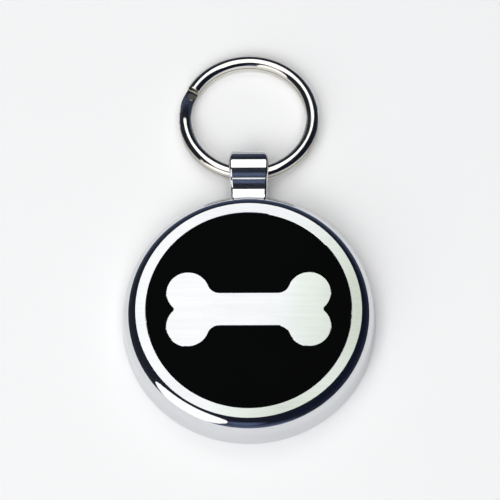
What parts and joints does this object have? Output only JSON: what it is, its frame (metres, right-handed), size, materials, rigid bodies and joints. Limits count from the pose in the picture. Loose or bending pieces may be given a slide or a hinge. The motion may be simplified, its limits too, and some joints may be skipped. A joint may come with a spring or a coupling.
{
  "type": "pet id tag",
  "caption": "Round chrome-plated pet id tag with a raised bone in a black enamelled field, a folded strap bail and a split ring that swings in it.",
  "frame": {"origin": "middle of the flat back face, on which the tag lies", "axes": "+Z out of the front face, +Y from the middle of the tag to the bail and ring"},
  "size_m": [0.032, 0.0522, 0.0056],
  "materials": {
    "plated_casting": "mirror polish",
    "black_enamel": "gloss",
    "plated_strip": "polish",
    "plated_wire": "bright nickel"
  },
  "bodies": {
    "tag": {"tag_body": "plated_casting", "enamel_field": "black_enamel", "bail_strap": "plated_strip"},
    "ring": {"split_ring": "plated_wire"}
  },
  "joints": [
    {"name": "ring_swing", "type": "hinge", "parent": "tag", "child": "ring", "pos_m": [0, 0.01992, 0.0028], "axis": [1, 0, 0], "range_deg": [-137, 157]}
  ]
}
